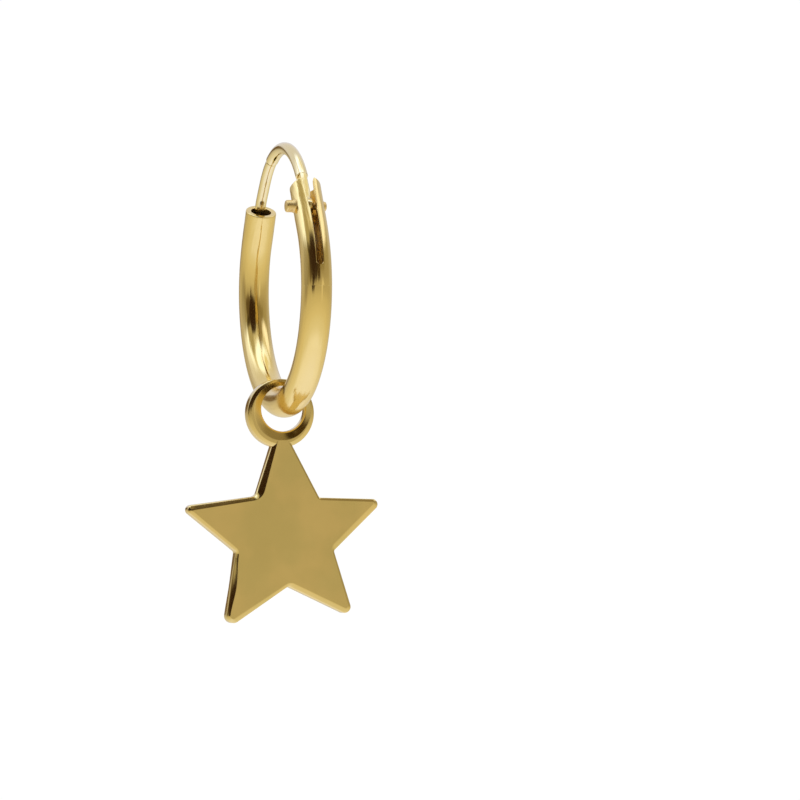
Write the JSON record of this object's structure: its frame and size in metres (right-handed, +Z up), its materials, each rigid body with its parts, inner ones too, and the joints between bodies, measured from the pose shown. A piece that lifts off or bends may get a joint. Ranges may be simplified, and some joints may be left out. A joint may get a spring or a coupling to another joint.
{
  "type": "earring",
  "caption": "Small hinged hoop earring of round tube with an ear wire that closes into its open mouth and a flat star charm hanging from a ring on the hoop.",
  "frame": {"origin": "top of the ear wire's arch, on the wire's centre line, where the ear lobe carries the earring", "axes": "+Z up, +Y across the hoop from the hinge to the open mouth, -Y the way the star faces, X along the hinge pin"},
  "size_m": [0.0097, 0.0125, 0.0236],
  "materials": {
    "polished_gold": "polished gold plating",
    "charm_gold": "polished gold plating with faint wear"
  },
  "bodies": {
    "hoop": {"hoop_tube": "polished_gold", "hinge_pin": "polished_gold"},
    "wire": {"ear_wire": "polished_gold"},
    "charm": {"star_charm": "charm_gold"}
  },
  "joints": [
    {"name": "wire_hinge", "type": "hinge", "parent": "hoop", "child": "wire", "pos_m": [0, -0.00439, -0.00304], "axis": [1, 0, 0], "range_deg": [0, 95]},
    {"name": "star_swing", "type": "hinge", "parent": "hoop", "child": "charm", "pos_m": [0, -0.00025, -0.01248], "axis": [0, 1, 0], "range_deg": [-90, 90]}
  ]
}
